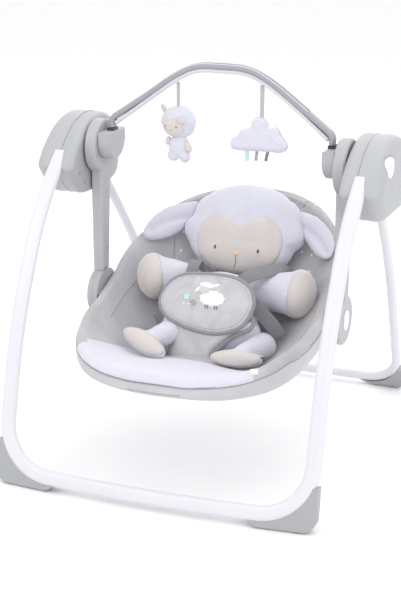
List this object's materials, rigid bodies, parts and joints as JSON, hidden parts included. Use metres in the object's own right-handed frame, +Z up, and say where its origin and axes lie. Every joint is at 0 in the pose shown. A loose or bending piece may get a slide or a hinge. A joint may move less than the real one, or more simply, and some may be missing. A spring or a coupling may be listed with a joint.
{
  "type": "baby swing",
  "caption": "Compact folding baby swing: two U-shaped stand tubes, motor housings, hanging arms, padded reclining seat with a soft animal insert, and an arched toy bar.",
  "frame": {"origin": "on the floor, at the middle of the swing's bounding box", "axes": "+X to the side with the controls, +Y to the back of the swing, +Z up"},
  "size_m": [0.612, 0.7259, 0.6762],
  "materials": {
    "white_tube": "satin powder coat",
    "grey_plastic": "fine moulded texture",
    "white_plastic": "smooth",
    "bezel_plastic": "smooth",
    "pad_rubber": "matt",
    "steel": "bright zinc",
    "bearing_plastic": "acetal",
    "board": "circuit laminate",
    "speaker_frame": "black",
    "copper": "enamelled winding",
    "magnet": "nickel",
    "dark_plastic": "matt",
    "ring_steel": "powder coat",
    "silver_bar": "silver grey",
    "bar_liner": "white",
    "grey_plush": "velour",
    "white_plush": "plush",
    "webbing": "woven webbing",
    "toy_trim": "ribbon tabs"
  },
  "bodies": {
    "stand": {"front_leg_tube": "white_tube", "front_foot_left": "grey_plastic", "front_foot_right": "grey_plastic", "front_foot_pads": "pad_rubber", "housing_outer_left": "grey_plastic", "housing_outer_right": "grey_plastic", "housing_inner_left": "grey_plastic", "housing_inner_right": "grey_plastic", "housing_screws": "steel", "hub_bushings": "bearing_plastic", "leg_pivot_pins": "steel", "control_bezel": "bezel_plastic", "circuit_board": "board", "speaker": "speaker_frame", "drive_coil": "copper", "battery_tray": "dark_plastic", "battery_door": "grey_plastic"},
    "rear_legs": {"rear_leg_tube": "white_tube", "rear_leg_hubs": "bearing_plastic", "rear_foot_left": "grey_plastic", "rear_foot_right": "grey_plastic", "rear_foot_pads": "pad_rubber"},
    "swing_arms": {"arm_left": "grey_plastic", "arm_right": "grey_plastic", "arm_cover_left": "grey_plastic", "arm_cover_right": "grey_plastic", "arm_screws": "steel", "hub_shafts": "steel", "drive_lever": "bearing_plastic", "drive_magnet": "magnet", "recline_pins": "steel"},
    "toy_bar_sockets": {"toy_bar_socket_left": "grey_plastic", "toy_bar_socket_right": "grey_plastic"},
    "toy_bar": {"toy_bar_arch": "silver_bar", "toy_bar_liner": "bar_liner", "toy_bar_ends": "dark_plastic"},
    "lamb_toy_body": {"lamb_toy_strap": "webbing", "lamb_toy": "white_plush"},
    "cloud_toy_body": {"cloud_toy_strap": "webbing", "cloud_toy": "white_plush", "cloud_toy_tabs": "toy_trim"},
    "seat": {"seat_tube_back": "ring_steel", "seat_tube_front": "ring_steel", "seat_hub_left": "grey_plastic", "seat_hub_right": "grey_plastic", "seat_sling": "grey_plush", "insert_head": "white_plush", "insert_body": "white_plush", "insert_limbs": "white_plush", "harness_pad": "grey_plush", "crotch_strap": "grey_plush", "harness_straps": "webbing", "harness_buckle": "dark_plastic"},
    "power_button": {"power_button": "white_plastic"},
    "melody_button": {"melody_button": "white_plastic"},
    "volume_button": {"volume_button": "white_plastic"},
    "leg_release_left": {"leg_release_left": "bezel_plastic"},
    "leg_release_right": {"leg_release_right": "bezel_plastic"},
    "recline_button_left": {"recline_button_left": "white_plastic"},
    "recline_button_right": {"recline_button_right": "white_plastic"}
  },
  "joints": [
    {"name": "leg_fold", "type": "hinge", "parent": "stand", "child": "rear_legs", "pos_m": [0, 0.04, 0.465], "axis": [1, 0, 0], "range_deg": [-60, 0]},
    {"name": "swing", "type": "hinge", "parent": "stand", "child": "swing_arms", "pos_m": [0, -0.033, 0.521], "axis": [1, 0, 0], "range_deg": [-18, 18]},
    {"name": "seat_recline", "type": "hinge", "parent": "swing_arms", "child": "seat", "pos_m": [0, -0.035, 0.255], "axis": [1, 0, 0], "range_deg": [-14, 0]},
    {"name": "toy_bar_pivot", "type": "hinge", "parent": "swing_arms", "child": "toy_bar_sockets", "pos_m": [0, -0.033, 0.521], "axis": [1, 0, 0], "range_deg": [-75, 0]},
    {"name": "toy_bar_lift", "type": "slide", "parent": "toy_bar_sockets", "child": "toy_bar", "axis": [0, 0, 1], "range_m": [0, 0.04]},
    {"name": "lamb_toy_swing", "type": "hinge", "parent": "toy_bar", "child": "lamb_toy_body", "pos_m": [-0.08, -0.023, 0.6395], "axis": [1, 0, 0], "range_deg": [-35, 35]},
    {"name": "cloud_toy_swing", "type": "hinge", "parent": "toy_bar", "child": "cloud_toy_body", "pos_m": [0.071, -0.023, 0.6443], "axis": [1, 0, 0], "range_deg": [-35, 35]},
    {"name": "power_button_press", "type": "slide", "parent": "stand", "child": "power_button", "axis": [-1, 0, 0], "range_m": [0, 0.0012], "stiffness_N_per_m": 400},
    {"name": "melody_button_press", "type": "slide", "parent": "stand", "child": "melody_button", "axis": [-1, 0, 0], "range_m": [0, 0.0012], "stiffness_N_per_m": 400},
    {"name": "volume_button_press", "type": "slide", "parent": "stand", "child": "volume_button", "axis": [-1, 0, 0], "range_m": [0, 0.0012], "stiffness_N_per_m": 400},
    {"name": "leg_release_right_press", "type": "slide", "parent": "stand", "child": "leg_release_right", "axis": [1, 0, 0], "range_m": [0, 0.003], "stiffness_N_per_m": 400},
    {"name": "leg_release_left_press", "type": "slide", "parent": "stand", "child": "leg_release_left", "axis": [-1, 0, 0], "range_m": [0, 0.003], "stiffness_N_per_m": 400},
    {"name": "recline_button_right_press", "type": "slide", "parent": "swing_arms", "child": "recline_button_right", "axis": [-1, 0, 0], "range_m": [0, 0.0015], "stiffness_N_per_m": 400},
    {"name": "recline_button_left_press", "type": "slide", "parent": "swing_arms", "child": "recline_button_left", "axis": [1, 0, 0], "range_m": [0, 0.0015], "stiffness_N_per_m": 400}
  ]
}
